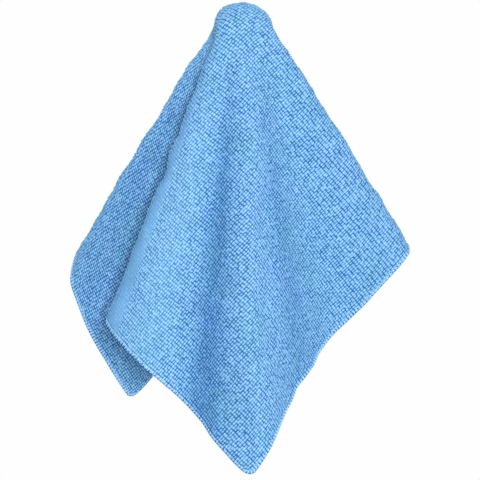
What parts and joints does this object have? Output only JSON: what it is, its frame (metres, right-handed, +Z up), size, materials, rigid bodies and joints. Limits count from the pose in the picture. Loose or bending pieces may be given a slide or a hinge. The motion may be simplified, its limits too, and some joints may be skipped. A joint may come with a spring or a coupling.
{
  "type": "hanging microfibre cleaning cloth",
  "caption": "Square knitted microfibre cleaning cloth with rounded overlocked corners, hung from one point near its middle so that it falls in uneven folds.",
  "frame": {"origin": "the hang point: the underside of the crown, where whatever holds the cloth touches it", "axes": "+Z up, the cloth hangs down along -Z; -Y is the side the broad front face looks to; +X is to the right seen from the front"},
  "size_m": [0.1688, 0.1563, 0.2192],
  "materials": {
    "knit": "soft looped microfibre pile, matt with a faint sheen, with an overlocked edge"
  },
  "bodies": {
    "root": {"cloth": "knit"}
  },
  "joints": []
}
